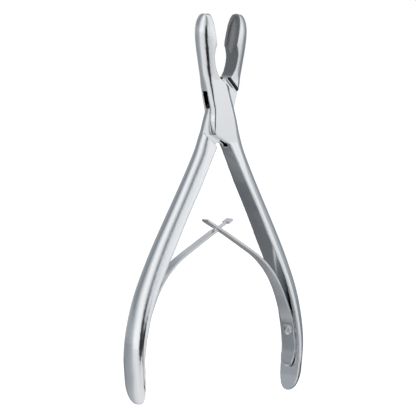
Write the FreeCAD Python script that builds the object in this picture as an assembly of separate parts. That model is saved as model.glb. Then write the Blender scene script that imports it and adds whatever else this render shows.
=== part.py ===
import FreeCAD, Part
import math
import os

Vector = FreeCAD.Vector

# Bone rongeur: two crossed arms in a box lock, opened by two interlocking leaf springs.
# All sizes are in millimetres and degrees. +Z runs up towards the jaws, the hinge runs
# along Y, and the part stands with its handle ends at z = 0, jaws open as at rest.
# An arm is drawn in its own plane: u is sideways, positive on the side of its jaw, and
# rise is the height over the hinge. The box arm has its jaw on the left, so it is
# mirrored, and the tongue arm has its jaw on the right.

# Reach of the arms from the hinge, and how far each jaw leans out when open
jaw_reach = 44.8
handle_reach = 132.5
half_opening = 11.1

# Jaw: its back as height over the hinge, distance out and half width
jaw_backs = [
    (18.4, 11.7, 4.45),
    (23.0, 12.55, 4.65),
    (27.5, 13.4, 4.8),
    (32.1, 14.1, 4.85),
    (36.7, 14.35, 4.8),
]
jaw_back_depth = 6.4
tip_rows = [(3.3, 5.35, 4.1), (1.5, 4.1, 3.3), (0.6, 3.2, 2.5), (0.15, 2.35, 1.6), (0.0, 1.7, 0.8)]
rim_corner_height = 30.2
relief_points = [(6.85, 27.2), (6.75, 23.0), (5.3, 18.4), (3.95, 16.2)]

# Spoon-shaped bite in each jaw
cup_length = 18.5
cup_width = 7.2
cup_depth = 3.3
cup_to_tip = 1.2

# Box lock
box_thickness = 8.0
box_crown = 0.15
crotch_out = 7.2
neck_out = 7.8
neck_edge_round = 5.0
box_edge_round = 3.0
edge_growth = 2.0
neck_lean = 0.345
cheek_half_length = 14.5
cheek_ramp_length = 22.0
cheek_ramp_rise = 1.05
shoulder_start = (2.9, 15.0)
shoulder_corner = (-3.4, 11.0)
box_back_rows = [(4.6, 8.35), (9.2, 9.5), (13.8, 10.6)]
handle_root_rows = [(4.6, 9.3), (9.2, 10.65), (13.8, 12.3)]
heel_inner = (-3.4, 15.3)
heel_outer = (5.1, 10.9)
heel_side = [(6.5, 7.0), (7.1, 3.4)]
tongue_thickness = 3.0
side_clearance = 0.06
upper_shoulder_distance = 12.9
lower_shoulder_distance = 14.6
shoulder_angle = 45.0

# Hinge pin, flush with both cheeks
pin_diameter = 4.5
pin_running_gap = 0.05

# Handle: inner face, back and half width at even stations down its length
first_station = 0.14
last_station = 0.91
handle_rows = [
    (5.3, 14.15, 4.7),
    (10.35, 18.85, 4.8),
    (15.5, 23.9, 5.0),
    (20.8, 29.1, 5.15),
    (25.7, 34.3, 5.35),
    (30.65, 39.2, 5.6),
    (35.6, 43.55, 5.8),
    (39.85, 47.3, 6.05),
    (43.1, 49.85, 6.25),
    (45.4, 51.4, 6.45),
    (46.55, 51.75, 6.6),
    (46.2, 50.75, 6.6),
]
handle_end_inner = 44.6
handle_end_curl = 1.5
handle_end_rows = [
    (7.0, 4.35, 6.2),
    (3.4, 3.75, 5.1),
    (1.5, 3.05, 3.9),
    (0.5, 2.25, 2.6),
    (0.1, 1.5, 1.5),
    (0.0, 1.1, 0.8),
]

# Leaf springs: height over the foot's end, gap to the handle and half width along the blade
leaf_thickness = 1.1
foot_over_handle_end = 10.9
foot_half_width = 4.2
foot_taper = 9.0
foot_seats = [7.0, 12.4, 18.2, 22.7]
blade_rows = [
    (27.5, 1.2, 3.95),
    (32.2, 1.65, 3.65),
    (37.1, 2.2, 3.4),
    (42.0, 2.95, 3.2),
    (46.9, 4.4, 3.0),
    (51.8, 7.0, 2.75),
    (56.7, 11.6, 2.5),
    (61.5, 17.4, 2.3),
]
crossing_over_foot = 67.4
crossing_half_width = 2.3
tip_past_crossing = 7.6
tip_lift = 4.1
window_width = 2.7
window_length = 5.4
window_edge = 2.4
waist_width = 1.9
waist_start = 1.7
head_length = 2.2

# Leaf screws and their locating pins
screw_over_foot = 18.2
screw_head_diameter = 5.2
screw_head_height = 0.6
screw_shank_diameter = 2.5
screw_depth = 3.2
screw_hole_gap = 0.15
screw_slot_width = 0.7
screw_slot_depth = 0.45
screw_slot_angle = 40.0
locator_over_foot = 10.5
locator_diameter = 1.5
locator_depth = 2.2
locator_stand = 0.6
locator_hole_gap = 0.1

# Dependent sizes
rim_slope = math.tan(math.radians(half_opening))
box_half = box_thickness / 2
tongue_half = tongue_thickness / 2
slot_half = tongue_half + side_clearance
pin_radius = pin_diameter / 2
foot_drop = handle_reach - foot_over_handle_end
crossing_drop = foot_drop - crossing_over_foot
screw_drop = foot_drop - screw_over_foot
locator_drop = foot_drop - locator_over_foot
spare = 4.0
seam_margin = 0.4
far = 2 * handle_reach

# Shape of the section's rounded ends, and how finely curves are drawn and searched
squareness = 2.3
curve_steps = 10
halvings = 40
slope_reach = 0.5


def spline(points):
    curve = Part.BSplineCurve()
    curve.interpolate(Points=points)
    return curve


def rounded_end(tip, depth, half, rise, side):
    """The rounded end of a section: out to the tip on one side, and as wide as the section."""
    points = []
    for step in range(curve_steps + 1):
        angle = math.pi * (step / curve_steps - 0.5)
        across = math.copysign(abs(math.sin(angle)) ** (2 / squareness), math.sin(angle))
        outward = max(math.cos(angle), 0.0) ** (2 / squareness)
        points.append(Vector(tip - side * depth * (1 - outward), side * half * across, rise))
    curve = Part.BSplineCurve()
    start = Vector(side, 0, 0)
    curve.interpolate(Points=points, InitialTangent=start, FinalTangent=-start)
    return curve.toShape()


def section(rise, low, low_round, high, high_round, half):
    """A flat bar's section at one height, with a rounded end at its low and its high side."""
    right = rounded_end(high, high_round, half, rise, 1)
    left = rounded_end(low, low_round, half, rise, -1)
    top = Part.makeLine(Vector(high - high_round, half, rise), Vector(low + low_round, half, rise))
    bottom = top.mirror(Vector(0, 0, rise), Vector(0, 1, 0))
    return Part.Wire([right, top, left, bottom])


def jaw_rows():
    """Height, back and half width up the jaw, with the tip's rows measured from its end."""
    rows = list(jaw_backs)
    for below_tip, depth, half in tip_rows:
        rise = jaw_reach - below_tip
        rows.append((rise, rim_slope * rise + depth, half))
    return rows


def handle_all_rows():
    """Drop, inner face, back and half width down the handle, with its end's rows."""
    rows = []
    spacing = (last_station - first_station) / (len(handle_rows) - 1)
    for number, (inner, back, half) in enumerate(handle_rows):
        rows.append(((first_station + number * spacing) * handle_reach, inner, back, half))
    last_drop, last_inner = rows[-1][:2]
    for above_end, depth, half in handle_end_rows:
        drop = handle_reach - above_end
        part_way = (drop - last_drop) / (handle_reach - last_drop)
        inner = last_inner + (handle_end_inner - last_inner) * part_way ** handle_end_curl
        rows.append((drop, inner, inner + depth, half))
    return rows


def arm_body():
    """The arm's outer form, wider than the arm on its inner side, which is cut to shape later.

    The rounded backs end a margin past the inner faces, so no cut runs along their seams.
    """
    edge, neck_edge = box_edge_round, neck_edge_round
    half_box = box_half + box_crown
    sections = []
    rows = handle_all_rows()
    for drop, inner, back, half in reversed(rows):
        depth = back - inner + seam_margin
        sections.append(section(-drop, -back, depth, -inner + spare, spare / 2, half))
    root_drop, root_inner, root_back, root_half = rows[0]
    root_depth = root_back - root_inner + seam_margin
    for drop, back in reversed(handle_root_rows):
        depth = neck_edge + (root_depth - neck_edge) * (drop / root_drop) ** edge_growth
        sections.append(section(-drop, -back, depth, crotch_out, edge, half_box))
    sections.append(section(0, -neck_out, neck_edge, crotch_out, edge, half_box))
    low = -neck_out
    for rise, back in box_back_rows:
        depth = edge + (jaw_back_depth - edge) * (rise / jaw_backs[0][0]) ** edge_growth
        low = -neck_out + neck_lean * rise
        sections.append(section(rise, low, neck_edge, back, depth, half_box))
    low_end = low
    for rise, back, half in jaw_rows():
        low = max(low_end, rim_slope * rise - spare)
        depth = min(back - rim_slope * rise + seam_margin, back - low - edge)
        sections.append(section(rise, low, edge, back, depth, half))
    return Part.makeLoft(sections, True, False)


def handle_inner_line():
    """The handle's inner face from its end up to the heel, seen along the hinge."""
    places = [Vector(-inner, 0, -drop) for drop, inner, back, half in reversed(handle_all_rows())]
    return spline(places + [Vector(heel_inner[0], 0, -heel_inner[1])])


def arm_outline():
    """The arm seen along the hinge: true on its inner side, and oversized at its back."""
    def point(u, rise):
        return Vector(u, -far, rise)

    above = jaw_reach + spare
    rim_top = point(rim_slope * above, above)
    rim_corner = point(rim_slope * rim_corner_height, rim_corner_height)
    relief = [rim_corner] + [point(*place) for place in relief_points] + [point(*shoulder_start)]
    lean = (relief[-1].z - shoulder_corner[1]) / (relief[-1].x - shoulder_corner[0])
    shoulder_end = point(-far, relief[-1].z - (far + relief[-1].x) * lean)
    handle_side = handle_inner_line()
    handle_side.translate(Vector(0, -far, 0))
    handle_end = handle_side.StartPoint
    below = point(handle_end.x, -handle_reach - spare)
    heel_corner = point(heel_outer[0], -heel_outer[1])
    side = [heel_corner] + [point(u, -drop) for u, drop in heel_side] + [point(crotch_out, 0)]
    edges = [
        Part.makeLine(rim_top, rim_corner),
        spline(relief).toShape(),
        Part.makeLine(relief[-1], shoulder_end),
        Part.makeLine(shoulder_end, point(-far, -handle_reach - spare)),
        Part.makeLine(point(-far, -handle_reach - spare), below),
        Part.makeLine(below, handle_end),
        handle_side.toShape(),
        Part.makeLine(handle_side.EndPoint, heel_corner),
        spline(side).toShape(),
        Part.makeLine(side[-1], point(far, 0)),
        Part.makeLine(point(far, 0), point(far, above)),
        Part.makeLine(point(far, above), rim_top),
    ]
    return Part.Face(Part.Wire(edges)).extrude(Vector(0, 2 * far, 0))


def cup():
    """The hollow of one jaw, an egg shape lying in the plane of the rim."""
    egg = Part.makeSphere(1)
    stretch = FreeCAD.Matrix()
    stretch.scale(cup_depth, cup_width / 2, cup_length / 2)
    egg = egg.transformGeometry(stretch)
    reach = jaw_reach / math.cos(math.radians(half_opening)) - cup_to_tip - cup_length / 2
    egg.translate(Vector(0, 0, reach))
    egg.rotate(Vector(0, 0, 0), Vector(0, 1, 0), half_opening)
    return egg


def cheek_planes():
    """What lies outside the two flat cheeks of the lock and the ramps that lead from them."""
    ramp_end = cheek_half_length + cheek_ramp_length
    places = [
        (-ramp_end, box_half + cheek_ramp_rise),
        (-cheek_half_length, box_half),
        (cheek_half_length, box_half),
        (ramp_end, box_half + cheek_ramp_rise),
        (ramp_end, box_thickness + spare),
        (-ramp_end, box_thickness + spare),
    ]
    corners = [Vector(-far, out, rise) for rise, out in places]
    slab = Part.Face(Part.makePolygon(corners + corners[:1])).extrude(Vector(2 * far, 0, 0))
    return slab.fuse(slab.mirror(Vector(0, 0, 0), Vector(0, 1, 0)))


def plain_arm():
    arm = arm_body().common(arm_outline())
    arm = arm.cut(cheek_planes())
    return arm.cut(cup())


def band(thickness, upper_gap, lower_gap):
    """A slab crossing the lock on the slant, between an upper and a lower shoulder.

    The slant runs from the upper left to the lower right, so the shoulders face the
    upper right and the lower left, as on the tongue arm.
    """
    corner = Vector(-far, -thickness / 2, -lower_gap)
    slab = Part.makeBox(2 * far, thickness, upper_gap + lower_gap, corner)
    slab.rotate(Vector(0, 0, 0), Vector(0, 1, 0), shoulder_angle)
    return slab


def mirrored(shape):
    return shape.mirror(Vector(0, 0, 0), Vector(1, 0, 0))


def hinge_pin(radius):
    return Part.makeCylinder(radius, box_thickness, Vector(0, -box_half, 0), Vector(0, 1, 0))


def inner_face_at(drop):
    """Distance out of the handle's inner face at a drop, found by halving on its curve."""
    curve = handle_inner_line()
    low, high = curve.FirstParameter, curve.LastParameter
    for _ in range(halvings):
        middle = (low + high) / 2
        if curve.value(middle).z < -drop:
            low = middle
        else:
            high = middle
    return -curve.value(low).x


def leaf_path():
    """Middle line of a leaf: distance out, height and half width, from its foot to its tip."""
    rows = []
    for over_foot in [0.0] + foot_seats:
        drop = foot_drop - over_foot
        rows.append((inner_face_at(drop) - leaf_thickness / 2, -drop, foot_half_width))
    for over_foot, gap, half in blade_rows:
        drop = foot_drop - over_foot
        rows.append((inner_face_at(drop) - gap, -drop, half))
    rows.append((0.0, -crossing_drop, crossing_half_width))
    rows.append((-tip_past_crossing, -crossing_drop + tip_lift, crossing_half_width))
    return rows


def leaf_line():
    return spline([Vector(out, 0, rise) for out, rise, half in leaf_path()])


def leaf_blank():
    """The leaf's blade as a smooth loft of flat rectangles set square to its middle line."""
    line = leaf_line()
    wires = []
    for out, rise, half in leaf_path():
        place = Vector(out, 0, rise)
        along = line.tangent(line.parameter(place))[0]
        across = Vector(-along.z, 0, along.x) * (leaf_thickness / 2)
        side = Vector(0, half, 0)
        corners = [place + across + side, place - across + side]
        corners += [place - across - side, place + across - side]
        wires.append(Part.makePolygon(corners + [corners[0]]))
    blade = Part.makeLoft(wires, True, False)
    middle = foot_taper - foot_drop
    oval = Part.Ellipse(Vector(0, 0, 0), foot_taper, foot_half_width)
    round_end = Part.Face(Part.Wire(oval.toShape())).extrude(Vector(0, 0, far))
    round_end.rotate(Vector(0, 0, 0), Vector(0, 1, 0), 90)
    round_end.translate(Vector(-far / 2, 0, middle))
    upper = Part.makeBox(far, far, far, Vector(-far / 2, -far / 2, middle))
    return blade.common(round_end.fuse(upper))


def at_crossing(shape):
    """Turns a shape drawn along X at the origin to the blade's slope at the crossing."""
    line = leaf_line()
    middle = Vector(0, 0, -crossing_drop)
    along = line.tangent(line.parameter(middle))[0]
    slope = math.degrees(math.atan2(along.z, -along.x))
    shape.rotate(Vector(0, 0, 0), Vector(0, 1, 0), slope)
    shape.translate(middle)
    return shape


def window_cut():
    length, width = window_length, window_width
    slot = Part.makeBox(length, width, spare, Vector(window_edge - length, -width / 2, -spare / 2))
    return at_crossing(slot)


def waist_cut():
    """Both sides of the waist, from the shoulder before the crossing up to the head."""
    length = waist_start + tip_past_crossing - head_length
    cuts = []
    for start in (waist_width / 2, -waist_width / 2 - spare):
        cuts.append(Part.makeBox(length, spare, 2 * spare, Vector(waist_start - length, start, -spare)))
    return at_crossing(cuts[0].fuse(cuts[1]))


def on_face(shape, drop):
    """Moves a shape drawn at the origin, with +X into the handle, square onto its inner face."""
    above, below = inner_face_at(drop - slope_reach), inner_face_at(drop + slope_reach)
    lean = math.degrees(math.atan2(below - above, 2 * slope_reach))
    shape.rotate(Vector(0, 0, 0), Vector(0, -1, 0), lean)
    shape.translate(Vector(inner_face_at(drop), 0, -drop))
    return shape


def rod(radius, start, length):
    return Part.makeCylinder(radius, length, Vector(start, 0, 0), Vector(1, 0, 0))


def screw():
    """Leaf screw on the right-hand handle, its slotted head on the leaf's inner face."""
    top = -leaf_thickness - screw_head_height
    shank = rod(screw_shank_diameter / 2, -leaf_thickness, leaf_thickness + screw_depth)
    head = rod(screw_head_diameter / 2, top, screw_head_height)
    rim = [edge for edge in head.Edges if edge.BoundBox.XMax < top + screw_head_height / 2]
    head = head.makeFillet(screw_head_height / 2, rim)
    slot_corner = Vector(top, -far / 2, -screw_slot_width / 2)
    slot = Part.makeBox(screw_slot_depth, far, screw_slot_width, slot_corner)
    slot.rotate(Vector(0, 0, 0), Vector(-1, 0, 0), screw_slot_angle)
    return on_face(head.fuse(shank).cut(slot).removeSplitter(), screw_drop)


def locator():
    """Small pin pressed into the handle, standing into a blind hole in the leaf's foot."""
    pin = rod(locator_diameter / 2, -locator_stand, locator_stand + locator_depth)
    return on_face(pin, locator_drop)


def right_leaf(handle):
    """A leaf on the right-hand handle, seated on it and bored for its screw and locator."""
    leaf = leaf_blank().cut(handle)
    leaf = max(leaf.Solids, key=lambda solid: solid.Volume)
    hole = rod(screw_shank_diameter / 2 + screw_hole_gap, -spare, 2 * spare)
    head_room = rod(screw_head_diameter / 2 + screw_hole_gap, -leaf_thickness - spare, spare)
    leaf = leaf.cut(on_face(hole.fuse(head_room), screw_drop))
    blind = locator_stand + locator_hole_gap
    socket = rod(locator_diameter / 2 + locator_hole_gap, -blind, blind + spare)
    return leaf.cut(on_face(socket, locator_drop))


def build():
    arm = plain_arm()
    upper, lower = upper_shoulder_distance, lower_shoulder_distance
    slot = mirrored(band(2 * slot_half, upper, lower))
    thinning = band(2 * box_thickness, upper, lower)
    tongue_corner = Vector(-far, -tongue_half, -far)
    thinning = thinning.cut(Part.makeBox(2 * far, tongue_thickness, 2 * far, tongue_corner))

    box_arm = mirrored(arm).cut(slot).cut(hinge_pin(pin_radius))
    tongue_arm = arm.cut(thinning).cut(hinge_pin(pin_radius + pin_running_gap))

    fastener, pin = screw(), locator()
    box_arm = box_arm.cut(fastener).cut(pin)
    tongue_arm = tongue_arm.cut(mirrored(fastener)).cut(mirrored(pin))

    leaf = right_leaf(mirrored(arm))
    parts = {
        "box_arm": box_arm,
        "tongue_arm": tongue_arm,
        "hinge_pin": hinge_pin(pin_radius),
        "window_leaf": leaf.cut(window_cut()),
        "tee_leaf": mirrored(leaf.cut(waist_cut())),
        "leaf_screw_right": fastener,
        "leaf_screw_left": mirrored(fastener),
        "leaf_locator_right": pin,
        "leaf_locator_left": mirrored(pin),
    }
    os.makedirs("parts", exist_ok=True)
    for name, shape in parts.items():
        shape.translate(Vector(0, 0, handle_reach))
        size = shape.BoundBox
        print(
            f"{name}: {len(shape.Solids)} solid, {shape.Volume:.1f} mm3, valid {shape.isValid()}, "
            f"x {size.XMin:.2f} {size.XMax:.2f} z {size.ZMin:.2f} {size.ZMax:.2f}"
        )
        shape.exportStep(f"parts/{name}.step")


build()
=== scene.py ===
import math

import bmesh
import bpy
from bpy.props import FloatProperty, FloatVectorProperty, IntProperty, PointerProperty
from mathutils import Matrix, Vector


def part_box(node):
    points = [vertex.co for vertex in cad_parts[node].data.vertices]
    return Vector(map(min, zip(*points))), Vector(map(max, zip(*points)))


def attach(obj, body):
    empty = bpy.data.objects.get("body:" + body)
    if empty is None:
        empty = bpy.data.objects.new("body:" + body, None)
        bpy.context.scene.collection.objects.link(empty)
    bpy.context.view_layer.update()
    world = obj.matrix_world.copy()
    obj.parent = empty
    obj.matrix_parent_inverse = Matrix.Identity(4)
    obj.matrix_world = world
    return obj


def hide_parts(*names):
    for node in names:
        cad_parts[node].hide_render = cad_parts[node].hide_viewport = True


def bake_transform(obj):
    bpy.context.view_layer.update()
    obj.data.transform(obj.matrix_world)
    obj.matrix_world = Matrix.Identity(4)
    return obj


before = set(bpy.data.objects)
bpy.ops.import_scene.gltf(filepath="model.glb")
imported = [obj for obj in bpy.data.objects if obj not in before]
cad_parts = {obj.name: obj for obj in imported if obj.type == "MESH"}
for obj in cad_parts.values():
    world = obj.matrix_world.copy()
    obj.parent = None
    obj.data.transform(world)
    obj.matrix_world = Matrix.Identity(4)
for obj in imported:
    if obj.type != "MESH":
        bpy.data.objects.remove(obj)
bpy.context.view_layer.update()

bl_info = {
    "name": "Bone Rongeur",
    "version": (1, 0, 0),
    "blender": (4, 5, 0),
    "location": "View3D > Sidebar > Rongeur",
    "description": "Dresses the packed bone rongeur: satin steel arms, leaf springs, screws and studio",
    "category": "Object",
}

MM = 0.001
WELD = 0.0005
PHOTO_WIDTH = 416
PHOTO_HEIGHT = 419
SENSOR_WIDTH = 36.0

# Brightness of the studio round the rongeur, by azimuth in degrees from its front: of its
# walls low down and of its walls high up
WALL_TONES = [
    (-180, 0.55), (-165, 0.42), (-140, 0.42), (-120, 0.52), (-103, 0.66),
    (-94, 0.95), (-84, 1.10), (-62, 1.08), (-38, 1.00), (-29, 0.70),
    (-25, 0.02), (-7, 0.02), (-2, 0.85), (30, 1.02), (62, 0.95),
    (70, 0.50), (82, 0.30), (105, 0.34), (122, 0.45), (130, 1.00),
    (152, 1.00), (163, 0.80), (180, 0.55),
]
UPPER_TONES = [
    (-180, 0.42), (-153, 0.34), (-140, 0.28), (-128, 0.30), (-118, 0.45),
    (-105, 0.60), (-88, 0.85), (-72, 1.05), (-45, 1.00), (-30, 0.75),
    (-20, 0.45), (-10, 0.22), (3, 0.70), (12, 0.95), (58, 0.88),
    (70, 0.50), (85, 0.32), (122, 0.45), (130, 1.00), (152, 1.00),
    (163, 0.60), (180, 0.42),
]
# Sine of the height angle at which the walls pass from low to high
UPPER_FROM, UPPER_AT = 0.12, 0.26
# In reflections the table glows with painted light in the walls' tones, fainter. Behind the
# rongeur a patch of that glow is painted shade, in a ring round the hinge's foot and to one side of a
# slanted line
WALLS_IN_TABLE = 0.8
SHADE_INNER = (0.070, 0.080)
SHADE_OUTER = (0.190, 0.230)
SHADE_SLANT, SHADE_LINE = 0.6, (0.032, 0.040)
SHADE_DEPTH = 0.62
# How much bluer the studio's dark parts are than its bright ones
DARK_BLUE = 0.11

# Lean of the polishing lines on the arms and the leaves, in radians
ARM_LEAN = 0.33
LEAF_LEAN = 0.6

# Finish of the steel: sizes of the clouding and of the scratches, how much of its tone the
# lines and the clouding take, and how much roughness the lines, the clouding and the
# scratches add to a base a little under the piece's own
CLOUD_SCALE = 140.0
SCRATCH_SCALE = (900.0, 900.0, 60.0)
TONE_BASE, TONE_OF_LINES, TONE_OF_CLOUDS = 0.97, 0.06, 0.04
ROUGH_BASE, ROUGH_OF_LINES, ROUGH_OF_CLOUDS, ROUGH_OF_SCRATCHES = -0.05, 0.06, 0.04, 0.04
GRAIN_STRENGTH = 0.6
STEEL_IOR = 2.5

# Share of the way that a corner moves to its neighbours' middle in one pass of tumbling
EASING_STEP = 0.5

# Inside the box lock: distance of the two shoulders from the hinge, half width of the slot
# and how much of the steel's brightness its faces keep under the painted shade there
UPPER_SHOULDER = 13.05
LOWER_SHOULDER = 14.75
SLOT_HALF = 1.62
LOCK_SHADE_KEPT = 0.06
# Product of the distances across and over the hinge, in square mm, past which the edges of
# the tongue are turned into the lock
TURNED_IN = 8.0

# The spoon-shaped bite: lean of its rim in radians, sizes of the hollow and its middle up
# the rim from the hinge; where the jaw's dull inner side starts, how squarely it must face
# inwards, how much brightness it keeps under painted shade and how much roughness its dull grinding gains
RIM_LEAN = math.radians(11.1)
CUP_DEPTH = 3.4
CUP_HALF = 3.75
CUP_REACH = 9.5
CUP_UP = 35.2
INNER_SIDE_FROM = 13.0
INWARD = (0.70, 0.85)
BITE_SHADE_KEPT = 0.45
DULL_ROUGHNESS = 0.45

# Leaf screw: sizes in metres and radians, number of sides of its round parts, the angle above
# which its edges stay crisp, and how nearly parallel the faces of its flat end are
SCREW_SIZES = {
    "Head radius": 0.0026,
    "Head height": 0.0006,
    "Rim radius": 0.0003,
    "Shank radius": 0.00125,
    "Shank length": 0.0043,
    "Slot width": 0.0007,
    "Slot depth": 0.00045,
    "Slot angle": math.radians(50),
}
SCREW_SIDES = 64
CREASE = math.radians(50)
FLAT = 0.9999

# Sides of the round floor, and where the camera starts to see, in metres
FLOOR_SIDES = 96
NEAREST_SEEN = 0.01

# Middle of the hinge pin, which the camera is aimed from
PIN_LOW, PIN_HIGH = (Vector(corner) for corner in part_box("hinge_pin"))
HINGE = (PIN_LOW + PIN_HIGH) / 2


class RongeurForm(bpy.types.PropertyGroup):
    """How finely the ground and tumbled surfaces are formed."""

    arm_grid: FloatProperty(
        name="Arm grid", description="Spacing of the arms' surface mesh, in mm",
        default=0.3, min=0.3, max=1.0)
    leaf_grid: FloatProperty(
        name="Leaf grid", description="Spacing of the leaf springs' surface mesh, in mm",
        default=0.2, min=0.1, max=0.5)
    arm_easing: IntProperty(
        name="Arm edge easing", description="Passes of tumbling that ease the arms' edges",
        default=2, min=0, max=30)
    leaf_easing: IntProperty(
        name="Leaf edge easing", description="Passes of tumbling that ease the leaves' edges",
        default=3, min=0, max=30)


class RongeurSteel(bpy.types.PropertyGroup):
    """Colours and finish of the steel."""

    arm_colour: FloatVectorProperty(
        name="Arm steel", description="Satin stainless steel of the arms",
        subtype="COLOR", default=(0.80, 0.815, 0.835), min=0.0, max=1.0)
    leaf_colour: FloatVectorProperty(
        name="Spring steel", description="Hardened steel of the leaf springs",
        subtype="COLOR", default=(0.64, 0.655, 0.675), min=0.0, max=1.0)
    screw_colour: FloatVectorProperty(
        name="Screw steel", description="Polished steel of the screws and pins",
        subtype="COLOR", default=(0.82, 0.83, 0.84), min=0.0, max=1.0)
    arm_roughness: FloatProperty(
        name="Arm roughness", description="Roughness of the satin finish",
        subtype="FACTOR", default=0.13, min=0.0, max=1.0)
    leaf_roughness: FloatProperty(
        name="Leaf roughness", description="Roughness of the springs' finish",
        subtype="FACTOR", default=0.2, min=0.0, max=1.0)
    screw_roughness: FloatProperty(
        name="Screw roughness", description="Roughness of the screws' finish",
        subtype="FACTOR", default=0.15, min=0.0, max=1.0)
    grain_length: FloatProperty(
        name="Grain length", description="Length of the polishing lines against their width",
        default=24.0, min=1.0, max=100.0)
    grain_fineness: FloatProperty(
        name="Grain fineness", description="Polishing lines for each metre across them",
        default=5200.0, min=100.0, max=20000.0)
    grain_depth: FloatProperty(
        name="Grain depth", description="Depth of the polishing lines",
        subtype="DISTANCE", default=0.000002, min=0.0, max=0.001)


class RongeurStudio(bpy.types.PropertyGroup):
    """Camera, floor and light."""

    camera_azimuth: FloatProperty(
        name="Camera azimuth", description="Angle of the camera round the rongeur, from its front",
        subtype="ANGLE", default=math.radians(-40.27))
    camera_elevation: FloatProperty(
        name="Camera elevation", description="Angle of the camera above the hinge",
        subtype="ANGLE", default=math.radians(1.464))
    camera_roll: FloatProperty(
        name="Camera roll", description="Lean of the rongeur in the picture",
        subtype="ANGLE", default=math.radians(0.967))
    camera_distance: FloatProperty(
        name="Camera distance", description="Distance from the camera to the hinge",
        subtype="DISTANCE", default=1.1616, min=0.1)
    pixel_size: FloatProperty(
        name="Pixel size", description="Millimetres that one pixel covers at the hinge",
        default=0.46044, min=0.01)
    hinge_right: FloatProperty(
        name="Hinge across", description="Where the hinge stands in the picture, in pixels from the left",
        default=219.5)
    hinge_down: FloatProperty(
        name="Hinge down", description="Where the hinge stands in the picture, in pixels from the top",
        default=110.89)
    floor_colour: FloatVectorProperty(
        name="Floor", description="Colour of the floor",
        subtype="COLOR", default=(0.86, 0.86, 0.86), min=0.0, max=1.0)
    floor_lift: FloatProperty(
        name="Floor lift", description="Brightness added to the floor where it is seen directly",
        default=0.6, min=0.0, max=1.0)
    floor_radius: FloatProperty(
        name="Floor radius", description="Radius of the round floor",
        subtype="DISTANCE", default=6.0, min=0.2)
    floor_drop: FloatProperty(
        name="Floor drop", description="Depth of the floor below the open handles",
        subtype="DISTANCE", default=0.010, min=0.0)
    sky_level: FloatProperty(
        name="Light level", description="Brightness of the studio's bright walls",
        default=1.0, min=0.0, max=4.0)


class NodeBench:
    """Adds nodes to a tree and joins them, so that materials read as a recipe."""

    def __init__(self, tree):
        self.tree = tree
        tree.nodes.clear()

    def add(self, kind, settings=None, **inputs):
        node = self.tree.nodes.new(kind)
        for name, value in (settings or {}).items():
            setattr(node, name, value)
        for name, value in inputs.items():
            self.feed(node, name, value)
        return node

    def feed(self, node, name, value):
        place = int(name[1:]) if name[0] == "_" else name.replace("_", " ")
        socket = node.inputs[place]
        if isinstance(value, bpy.types.NodeSocket):
            self.tree.links.new(value, socket)
        else:
            socket.default_value = value

    def math(self, operation, first, second=0.0, third=0.0):
        node = self.add("ShaderNodeMath", {"operation": operation}, _0=first, _1=second, _2=third)
        return node.outputs[0]

    def passage(self, value, start, end):
        """0 up to a start, 1 from an end on, and a smooth passage between them."""
        node = self.add(
            "ShaderNodeMapRange", {"interpolation_type": "SMOOTHSTEP"},
            Value=value, From_Min=start, From_Max=end)
        return node.outputs[0]


def ramp(bench, factor, stops):
    """A colour ramp through (place, colour) stops."""
    node = bench.add("ShaderNodeValToRGB", _0=factor)
    elements = node.color_ramp.elements
    while len(elements) < len(stops):
        elements.new(0.5)
    for element, (place, colour) in zip(elements, stops):
        element.position = place
        element.color = (*colour, 1.0)
    return node.outputs["Color"]


def inside(bench, value, low, high):
    """1 where a value lies between two limits, and 0 elsewhere."""
    above, below = bench.math("GREATER_THAN", value, low), bench.math("LESS_THAN", value, high)
    return bench.math("MULTIPLY", above, below)


def lock_painted_shade(bench, place, arm):
    """1 on an arm's faces inside the box lock, which are darkened nearly to black as painted shade between
    the parts.

    The slot of the box arm and the thinned part of the tongue arm cross the lock on the
    slant, between two shoulders.
    """
    side = -1.0 if arm == "box_arm" else 1.0
    split = bench.add("ShaderNodeSeparateXYZ", Vector=place)
    across, over = split.outputs["X"], bench.math("SUBTRACT", split.outputs["Z"], HINGE.z)
    aside = bench.math("MULTIPLY", across, side)
    slant = bench.math("MULTIPLY", bench.math("ADD", aside, over), math.sqrt(0.5))
    depth = bench.math("ABSOLUTE", split.outputs["Y"])
    between = inside(bench, slant, -LOWER_SHOULDER * MM, UPPER_SHOULDER * MM)
    if arm == "box_arm":
        hidden = bench.math("LESS_THAN", depth, SLOT_HALF * MM)
    else:
        turned_in = bench.math("LESS_THAN", bench.math("MULTIPLY", across, over), -TURNED_IN * MM * MM)
        hidden = bench.math("MAXIMUM", bench.math("GREATER_THAN", depth, SLOT_HALF * MM), turned_in)
    return bench.math("MULTIPLY", between, hidden)


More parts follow.
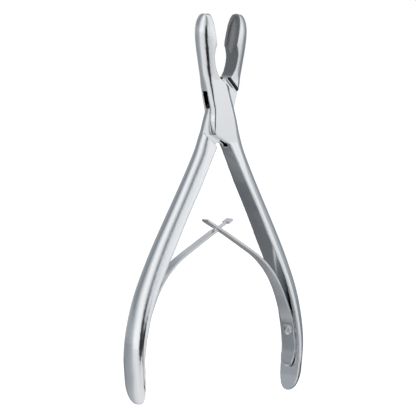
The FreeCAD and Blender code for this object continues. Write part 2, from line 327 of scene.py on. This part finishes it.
def dull_and_shaded_bite(bench, place, normal, arm):
    """1 in a jaw's spoon-shaped hollow and on its inner side, which are ground dull and darkened with
    painted shade.
    """
    side = -1.0 if arm == "box_arm" else 1.0
    centred = bench.add("ShaderNodeVectorMath", {"operation": "SUBTRACT"}, _0=place, _1=tuple(HINGE))
    turned = bench.add(
        "ShaderNodeVectorRotate", {"rotation_type": "Y_AXIS"},
        Vector=centred.outputs[0], Center=(0.0, 0.0, 0.0), Angle=-RIM_LEAN * side)
    split = bench.add("ShaderNodeSeparateXYZ", Vector=turned.outputs[0])
    into, along = bench.math("MULTIPLY", split.outputs["X"], side), split.outputs["Z"]
    squares = []
    sizes = ((into, 0.0, CUP_DEPTH), (split.outputs["Y"], 0.0, CUP_HALF), (along, CUP_UP, CUP_REACH))
    for value, middle, half in sizes:
        share = bench.math("MULTIPLY_ADD", value, 1.0 / (half * MM), -middle / half)
        squares.append(bench.math("MULTIPLY", share, share))
    within = bench.math("ADD", bench.math("ADD", squares[0], squares[1]), squares[2])
    hollow = bench.math("LESS_THAN", within, 1.0)
    across = bench.add("ShaderNodeSeparateXYZ", Vector=normal).outputs["X"]
    inward = bench.passage(bench.math("MULTIPLY", across, -side), *INWARD)
    inner_side = bench.math("MULTIPLY", inward, bench.math("GREATER_THAN", along, INNER_SIDE_FROM * MM))
    return bench.math("MAXIMUM", hollow, inner_side)


def steel(name, colour, roughness, lean, settings, arm=None):
    """Satin steel with fine polishing lines that run along the piece, and faint handling marks."""
    material = bpy.data.materials.new(name)
    material.use_nodes = True
    bench = NodeBench(material.node_tree)
    coordinates = bench.add("ShaderNodeTexCoord").outputs
    place = coordinates["Object"]

    # Polishing lines: noise drawn out along the piece
    turned = bench.add("ShaderNodeMapping", Vector=place, Rotation=(0.0, lean, 0.0))
    fine = settings.grain_fineness
    drawn = bench.add(
        "ShaderNodeMapping", Vector=turned.outputs[0],
        Scale=(fine, fine, fine / settings.grain_length))
    lines = bench.add(
        "ShaderNodeTexNoise", Vector=drawn.outputs[0], Scale=1.0, Detail=3.0, Roughness=0.6)

    # Broad clouding left by the tumbling, and scattered fine scratches
    clouds = bench.add("ShaderNodeTexNoise", Vector=place, Scale=CLOUD_SCALE, Detail=3.0, Roughness=0.5)
    scratch_map = bench.add("ShaderNodeMapping", Vector=turned.outputs[0], Scale=SCRATCH_SCALE)
    scratches = bench.add(
        "ShaderNodeTexNoise", Vector=scratch_map.outputs[0], Scale=1.0, Detail=2.0, Roughness=0.7)

    tone = bench.math("MULTIPLY_ADD", lines.outputs[0], TONE_OF_LINES, TONE_BASE)
    tone = bench.math("MULTIPLY_ADD", clouds.outputs[0], TONE_OF_CLOUDS, tone)
    dull_and_shade = 0.0
    if arm:
        # Painted shade inside the box lock: its faces are darkened nearly to black
        lock_shade = lock_painted_shade(bench, place, arm)
        # Painted shade on the jaws' bites, which also grow rougher where they are ground dull
        dull_and_shade = dull_and_shaded_bite(bench, place, coordinates["Normal"], arm)
        for faces, kept in ((lock_shade, LOCK_SHADE_KEPT), (dull_and_shade, BITE_SHADE_KEPT)):
            tone = bench.math("MULTIPLY", tone, bench.math("MULTIPLY_ADD", faces, kept - 1.0, 1.0))
    tinted = bench.add("ShaderNodeVectorMath", {"operation": "SCALE"}, _0=(*colour,), Scale=tone)
    rough = bench.math("MULTIPLY_ADD", lines.outputs[0], ROUGH_OF_LINES, roughness + ROUGH_BASE)
    rough = bench.math("MULTIPLY_ADD", clouds.outputs[0], ROUGH_OF_CLOUDS, rough)
    rough = bench.math("MULTIPLY_ADD", scratches.outputs[0], ROUGH_OF_SCRATCHES, rough)
    rough = bench.math("MULTIPLY_ADD", dull_and_shade, DULL_ROUGHNESS, rough)
    bump = bench.add(
        "ShaderNodeBump", Strength=GRAIN_STRENGTH, Distance=settings.grain_depth,
        Height=lines.outputs[0])
    shader = bench.add(
        "ShaderNodeBsdfPrincipled",
        Base_Color=tinted.outputs[0], Roughness=rough, Normal=bump.outputs[0],
        Metallic=1.0, IOR=STEEL_IOR)
    output = bench.add("ShaderNodeOutputMaterial", Surface=shader.outputs[0])
    material.node_tree.nodes.active = output
    return material


def applied(obj):
    """Puts a plain mesh in place of an object's mesh and modifiers."""
    evaluated = obj.evaluated_get(bpy.context.evaluated_depsgraph_get())
    mesh = bpy.data.meshes.new_from_object(evaluated)
    mesh.name = obj.name
    obj.modifiers.clear()
    obj.data = mesh
    return obj


def ground_copy(name, nodes, grid, easing):
    """A copy of CAD nodes' form with an even surface and eased edges, as grinding leaves it."""
    welded = bmesh.new()
    for node in nodes:
        welded.from_mesh(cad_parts[node].data)
    bmesh.ops.remove_doubles(welded, verts=welded.verts, dist=WELD * MM)
    mesh = bpy.data.meshes.new(name)
    welded.to_mesh(mesh)
    welded.free()
    piece = bpy.data.objects.new(name, mesh)
    bpy.context.scene.collection.objects.link(piece)
    remesh = piece.modifiers.new("Even surface", "REMESH")
    remesh.mode = "VOXEL"
    remesh.voxel_size = grid * MM
    ease = piece.modifiers.new("Eased edges", "SMOOTH")
    ease.factor = EASING_STEP
    ease.iterations = easing
    applied(piece)
    piece.data.polygons.foreach_set("use_smooth", [True] * len(piece.data.polygons))
    return piece


def finish_piece(piece, material, nodes):
    """Gives a piece its material, and hides its CAD nodes so that it stands in their place."""
    piece.data.materials.clear()
    piece.data.materials.append(material)
    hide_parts(*nodes)


class RONGEUR_OT_arms(bpy.types.Operator):
    """Forms the two forged arms with their eased edges and satin finish."""

    bl_idname = "rongeur.arms"
    bl_label = "Form the arms"

    def execute(self, context):
        form, finish = context.scene.rongeur_form, context.scene.rongeur_steel
        # The hinge pin is ground flush with the box arm, so the two show as one surface
        for nodes, lean in ((("box_arm", "hinge_pin"), -ARM_LEAN), (("tongue_arm",), ARM_LEAN)):
            arm = nodes[0]
            piece = ground_copy(f"satin_{arm}", nodes, form.arm_grid, form.arm_easing)
            material = steel(
                f"Satin steel {arm}", finish.arm_colour, finish.arm_roughness, lean, finish, arm=arm)
            finish_piece(piece, material, nodes)
            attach(piece, f"{arm}_body")
        return {"FINISHED"}


class RONGEUR_OT_leaves(bpy.types.Operator):
    """Forms the two leaf springs, clamped at the foot, as fixed copies of their CAD form."""

    bl_idname = "rongeur.leaves"
    bl_label = "Form the leaf springs"

    def execute(self, context):
        form, finish = context.scene.rongeur_form, context.scene.rongeur_steel
        leaves = (("window_leaf", "box_arm", -LEAF_LEAN), ("tee_leaf", "tongue_arm", LEAF_LEAN))
        for leaf, arm, lean in leaves:
            piece = ground_copy(f"sprung_{leaf}", (leaf,), form.leaf_grid, form.leaf_easing)
            material = steel(
                f"Spring steel {leaf}", finish.leaf_colour, finish.leaf_roughness, lean, finish)
            finish_piece(piece, material, (leaf,))
            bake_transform(piece)
        return {"FINISHED"}


def screw_tree(material):
    """Geometry nodes that form a slotted screw: its shank runs down from the origin along -Z.

    Returns the tree and the identifiers of its inputs by name.
    """
    tree = bpy.data.node_groups.new("Slotted screw", "GeometryNodeTree")
    bench = NodeBench(tree)
    tree.interface.new_socket(name="Geometry", in_out="OUTPUT", socket_type="NodeSocketGeometry")
    identifiers = {}
    for name, size in SCREW_SIZES.items():
        socket = tree.interface.new_socket(name=name, in_out="INPUT", socket_type="NodeSocketFloat")
        socket.default_value = size
        identifiers[name] = socket.identifier
    size = bench.add("NodeGroupInput").outputs

    def disc(radius, top_radius, depth, base):
        """A round slice of the screw, from a base height upwards."""
        cone = bench.add(
            "GeometryNodeMeshCone", Vertices=SCREW_SIDES,
            Radius_Bottom=radius, Radius_Top=top_radius, Depth=depth)
        offset = bench.add("ShaderNodeCombineXYZ", Z=base)
        return bench.add(
            "GeometryNodeTransform", Geometry=cone.outputs["Mesh"], Translation=offset.outputs[0])

    # The shank ends at the origin, and the head sits on it with a rounded rim in two slices
    neck = bench.math("MULTIPLY", size["Shank length"], -1.0)
    slices = [disc(size["Shank radius"], size["Shank radius"], size["Shank length"], neck)]
    rim = size["Rim radius"]
    straight = bench.math("SUBTRACT", size["Head height"], rim)
    top = bench.math("SUBTRACT", neck, size["Head height"])
    edges = []
    for angle in (0.0, math.pi / 4, math.pi / 2):
        inset = bench.math("MULTIPLY", rim, 1.0 - math.cos(angle))
        raised = bench.math("MULTIPLY", rim, math.sin(angle))
        outer = bench.math("SUBTRACT", size["Head radius"], inset)
        edges.append((outer, bench.math("SUBTRACT", bench.math("SUBTRACT", neck, straight), raised)))
    slices.append(disc(edges[0][0], edges[0][0], straight, edges[0][1]))
    for (lower, low_at), (upper, high_at) in zip(edges, edges[1:]):
        slices.append(disc(upper, lower, bench.math("SUBTRACT", low_at, high_at), high_at))
    body = bench.add("GeometryNodeMeshBoolean", {"operation": "UNION", "solver": "EXACT"})
    for piece in slices:
        tree.links.new(piece.outputs[0], body.inputs["Mesh 2"])

    # The slot is cut across the head
    wide = bench.math("MULTIPLY", size["Head radius"], 4.0)
    tall = bench.math("MULTIPLY", size["Slot depth"], 2.0)
    block = bench.add("ShaderNodeCombineXYZ", X=size["Slot width"], Y=wide, Z=tall)
    cutter = bench.add("GeometryNodeMeshCube", Size=block.outputs[0])
    turn = bench.add("ShaderNodeCombineXYZ", Z=size["Slot angle"])
    rotation = bench.add("FunctionNodeEulerToRotation", Euler=turn.outputs[0])
    at_top = bench.add("ShaderNodeCombineXYZ", Z=top)
    cutter = bench.add(
        "GeometryNodeTransform", Geometry=cutter.outputs["Mesh"],
        Translation=at_top.outputs[0], Rotation=rotation.outputs[0])
    slotted = bench.add(
        "GeometryNodeMeshBoolean", {"operation": "DIFFERENCE", "solver": "EXACT"}, _0=body.outputs[0])
    tree.links.new(cutter.outputs[0], slotted.inputs["Mesh 2"])

    angle = bench.add("GeometryNodeInputMeshEdgeAngle").outputs["Unsigned Angle"]
    creased = bench.add(
        "FunctionNodeCompare", {"data_type": "FLOAT", "operation": "GREATER_THAN"}, _0=angle, _1=CREASE)
    smooth = bench.add("GeometryNodeSetShadeSmooth", {"domain": "FACE"}, Geometry=slotted.outputs[0])
    crisp = bench.add(
        "GeometryNodeSetShadeSmooth", {"domain": "EDGE"},
        Geometry=smooth.outputs[0], Selection=creased.outputs[0], Shade_Smooth=False)
    real = bench.add("GeometryNodeRealizeInstances", Geometry=crisp.outputs[0])
    dressed = bench.add("GeometryNodeSetMaterial", Geometry=real.outputs[0], Material=material)
    bench.add("NodeGroupOutput", Geometry=dressed.outputs[0])
    return tree, identifiers


def screw_end(node, side):
    """Where a leaf screw ends in its handle: a frame there with Z along the screw, into the steel."""
    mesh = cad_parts[node].data
    faces = sorted(mesh.polygons, key=lambda face: face.normal.x * side)
    end = [face for face in faces if face.normal.dot(faces[-1].normal) > FLAT]
    deepest = max(face.center.dot(faces[-1].normal) for face in end)
    end = [face for face in end if face.center.dot(faces[-1].normal) > deepest - WELD * MM]
    area = sum(face.area for face in end)
    middle = sum((face.center * face.area for face in end), Vector()) / area
    along = faces[-1].normal.copy()
    across = Vector((0.0, 1.0, 0.0))
    return Matrix.Translation(middle) @ Matrix((across, along.cross(across), along)).transposed().to_4x4()


class RONGEUR_OT_fasteners(bpy.types.Operator):
    """Forms the slotted leaf screws and finishes their locating pins."""

    bl_idname = "rongeur.fasteners"
    bl_label = "Form the screws and pins"

    def execute(self, context):
        finish = context.scene.rongeur_steel
        material = steel("Screw steel", finish.screw_colour, finish.screw_roughness, 0.0, finish)
        tree, identifiers = screw_tree(material)
        for side, sign, body in (("right", 1.0, "box_arm_body"), ("left", -1.0, "tongue_arm_body")):
            piece = bpy.data.objects.new(f"slotted_screw_{side}", bpy.data.meshes.new("Screw"))
            context.scene.collection.objects.link(piece)
            nodes = piece.modifiers.new("Slotted screw", "NODES")
            nodes.node_group = tree
            nodes[identifiers["Slot angle"]] = SCREW_SIZES["Slot angle"] * sign
            applied(piece).data.transform(screw_end(f"leaf_screw_{side}", sign))
            finish_piece(piece, material, (f"leaf_screw_{side}",))
            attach(piece, body)
        for node in ("leaf_locator_right", "leaf_locator_left"):
            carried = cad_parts[node]
            carried.data.materials.clear()
            carried.data.materials.append(material)
        return {"FINISHED"}


def camera_axes(studio):
    """Right, up and backward directions of the level camera."""
    azimuth, elevation = studio.camera_azimuth, studio.camera_elevation
    level = math.cos(elevation)
    back = Vector((math.sin(azimuth) * level, -math.cos(azimuth) * level, math.sin(elevation)))
    right = Vector((math.cos(azimuth), math.sin(azimuth), 0.0))
    return right, back.cross(right), back


def add_camera(scene, studio):
    """Stands the camera where the photograph was taken from."""
    right, up, back = camera_axes(studio)
    place = HINGE + back * studio.camera_distance
    roll = studio.camera_roll
    # The hinge's place in the picture, from its middle, turned back into the level frame
    across = (studio.hinge_right - PHOTO_WIDTH / 2) * studio.pixel_size * MM
    down = (studio.hinge_down - PHOTO_HEIGHT / 2) * studio.pixel_size * MM
    aim_right = across * math.cos(roll) + down * math.sin(roll)
    aim_down = -across * math.sin(roll) + down * math.cos(roll)
    target = HINGE - right * aim_right + up * aim_down
    forward = (target - place).normalized()
    up = (up - forward * up.dot(forward)).normalized()
    right = forward.cross(up)
    turn = Matrix.Rotation(-roll, 3, forward)
    right, up = turn @ right, turn @ up
    data = bpy.data.cameras.new("Camera")
    data.sensor_fit = "HORIZONTAL"
    data.sensor_width = SENSOR_WIDTH
    data.lens = SENSOR_WIDTH * studio.camera_distance / (PHOTO_WIDTH * studio.pixel_size * MM)
    data.clip_start = NEAREST_SEEN
    camera = bpy.data.objects.new("Camera", data)
    turned = Matrix((right, up, -forward)).transposed().to_4x4()
    camera.matrix_world = Matrix.Translation(place) @ turned
    scene.collection.objects.link(camera)
    scene.camera = camera


def studio_colour(tone):
    """A grey of the studio, the bluer the darker it is."""
    cool = DARK_BLUE * max(1.0 - tone, 0.0)
    return tone * (1.0 - cool), tone, tone * (1.0 + cool)


def by_azimuth(bench, split, tones):
    """A studio colour that goes round the rongeur by the azimuth of a direction or a place."""
    ahead = bench.math("MULTIPLY", split.outputs["Y"], -1.0)
    azimuth = bench.math("ARCTAN2", split.outputs["X"], ahead)
    turn = bench.math("MULTIPLY_ADD", azimuth, 0.5 / math.pi, 0.5)
    return ramp(bench, turn, [(place / 360 + 0.5, studio_colour(tone)) for place, tone in tones])


def add_floor(scene, studio):
    """A round pale floor that shows white and keeps the rongeur's shadow.

    It lies below the open handles, because the left one swings lower as they close.
    """
    disc = bmesh.new()
    bmesh.ops.create_circle(
        disc, cap_ends=True, segments=FLOOR_SIDES, radius=studio.floor_radius,
        matrix=Matrix.Translation((0.0, 0.0, -studio.floor_drop)))
    mesh = bpy.data.meshes.new("Floor")
    disc.to_mesh(mesh)
    disc.free()
    floor = bpy.data.objects.new("Floor", mesh)
    scene.collection.objects.link(floor)
    material = bpy.data.materials.new("Pale floor")
    material.use_nodes = True
    bench = NodeBench(material.node_tree)
    light_path = bench.add("ShaderNodeLightPath").outputs
    matte = bench.add("ShaderNodeBsdfDiffuse", Color=(*studio.floor_colour, 1.0))
    lift = bench.math("MULTIPLY", light_path["Is Camera Ray"], studio.floor_lift)
    glow = bench.add("ShaderNodeEmission", Color=(1.0, 1.0, 1.0, 1.0), Strength=lift)
    plain = bench.add("ShaderNodeAddShader", _0=matte.outputs[0], _1=glow.outputs[0])
    place = bench.add("ShaderNodeTexCoord").outputs["Object"]
    split = bench.add("ShaderNodeSeparateXYZ", Vector=place)
    level_place = bench.add(
        "ShaderNodeVectorMath", {"operation": "MULTIPLY"}, _0=place, _1=(1.0, 1.0, 0.0))
    reach = bench.add(
        "ShaderNodeVectorMath", {"operation": "LENGTH"}, _0=level_place.outputs[0]).outputs["Value"]
    ring = bench.math("SUBTRACT", bench.passage(reach, *SHADE_INNER), bench.passage(reach, *SHADE_OUTER))
    beside = bench.math("MULTIPLY_ADD", split.outputs["Y"], SHADE_SLANT, split.outputs["X"])
    shade = bench.math("MULTIPLY", ring, bench.passage(beside, *SHADE_LINE))
    # Seen in the steel the floor glows with painted light, darkened where the patch of painted shade lies
    level = WALLS_IN_TABLE * studio.sky_level
    level = bench.math("MULTIPLY_ADD", shade, -SHADE_DEPTH * level, level)
    mirrored = bench.add(
        "ShaderNodeEmission", Color=by_azimuth(bench, split, WALL_TONES), Strength=level)
    shown = bench.add(
        "ShaderNodeMixShader", _0=light_path["Is Glossy Ray"], _1=plain.outputs[0], _2=mirrored.outputs[0])
    bench.add("ShaderNodeOutputMaterial", Surface=shown.outputs[0])
    mesh.materials.append(material)


def add_light(scene, studio):
    """The studio's walls: bright in front, a narrow dark gap, and greyer behind."""
    world = bpy.data.worlds.new("Studio")
    scene.world = world
    world.use_nodes = True
    bench = NodeBench(world.node_tree)
    direction = bench.add("ShaderNodeTexCoord").outputs["Generated"]
    split = bench.add("ShaderNodeSeparateXYZ", Vector=direction)
    raised = bench.passage(split.outputs["Z"], UPPER_FROM, UPPER_AT)
    low, high = by_azimuth(bench, split, WALL_TONES), by_azimuth(bench, split, UPPER_TONES)
    lit = [
        bench.add("ShaderNodeBackground", Color=colour, Strength=studio.sky_level)
        for colour in (low, high)]
    walls = bench.add("ShaderNodeMixShader", _0=raised, _1=lit[0].outputs[0], _2=lit[1].outputs[0])
    white = bench.add("ShaderNodeBackground", Color=(1.0, 1.0, 1.0, 1.0), Strength=1.0)
    seen = bench.add("ShaderNodeLightPath").outputs["Is Camera Ray"]
    both = bench.add("ShaderNodeMixShader", _0=seen, _1=walls.outputs[0], _2=white.outputs[0])
    bench.add("ShaderNodeOutputWorld", Surface=both.outputs[0])


class RONGEUR_OT_stage(bpy.types.Operator):
    """Sets the camera, the floor and the studio light."""

    bl_idname = "rongeur.stage"
    bl_label = "Set the stage"

    def execute(self, context):
        scene = context.scene
        add_camera(scene, scene.rongeur_studio)
        add_floor(scene, scene.rongeur_studio)
        add_light(scene, scene.rongeur_studio)
        scene.view_settings.view_transform = "Standard"
        return {"FINISHED"}


class RONGEUR_PT_panel(bpy.types.Panel):
    """Sizes, finishes and the steps that dress the rongeur."""

    bl_idname = "RONGEUR_PT_panel"
    bl_label = "Bone Rongeur"
    bl_space_type = "VIEW_3D"
    bl_region_type = "UI"
    bl_category = "Rongeur"

    def draw(self, context):
        for group in (context.scene.rongeur_form, context.scene.rongeur_steel, context.scene.rongeur_studio):
            box = self.layout.box()
            for name in group.__annotations__:
                box.prop(group, name)
        for step in STEPS:
            self.layout.operator(step.bl_idname)


GROUPS = {"rongeur_form": RongeurForm, "rongeur_steel": RongeurSteel, "rongeur_studio": RongeurStudio}
STEPS = (RONGEUR_OT_arms, RONGEUR_OT_leaves, RONGEUR_OT_fasteners, RONGEUR_OT_stage)


def register():
    for cls in (*GROUPS.values(), *STEPS, RONGEUR_PT_panel):
        bpy.utils.register_class(cls)
    for name, group in GROUPS.items():
        setattr(bpy.types.Scene, name, PointerProperty(type=group))


def unregister():
    for name in GROUPS:
        delattr(bpy.types.Scene, name)
    for cls in reversed((*GROUPS.values(), *STEPS, RONGEUR_PT_panel)):
        bpy.utils.unregister_class(cls)


def main():
    register()
    bpy.ops.rongeur.arms()
    bpy.ops.rongeur.leaves()
    bpy.ops.rongeur.fasteners()
    bpy.ops.rongeur.stage()


if __name__ == "__main__":
    main()
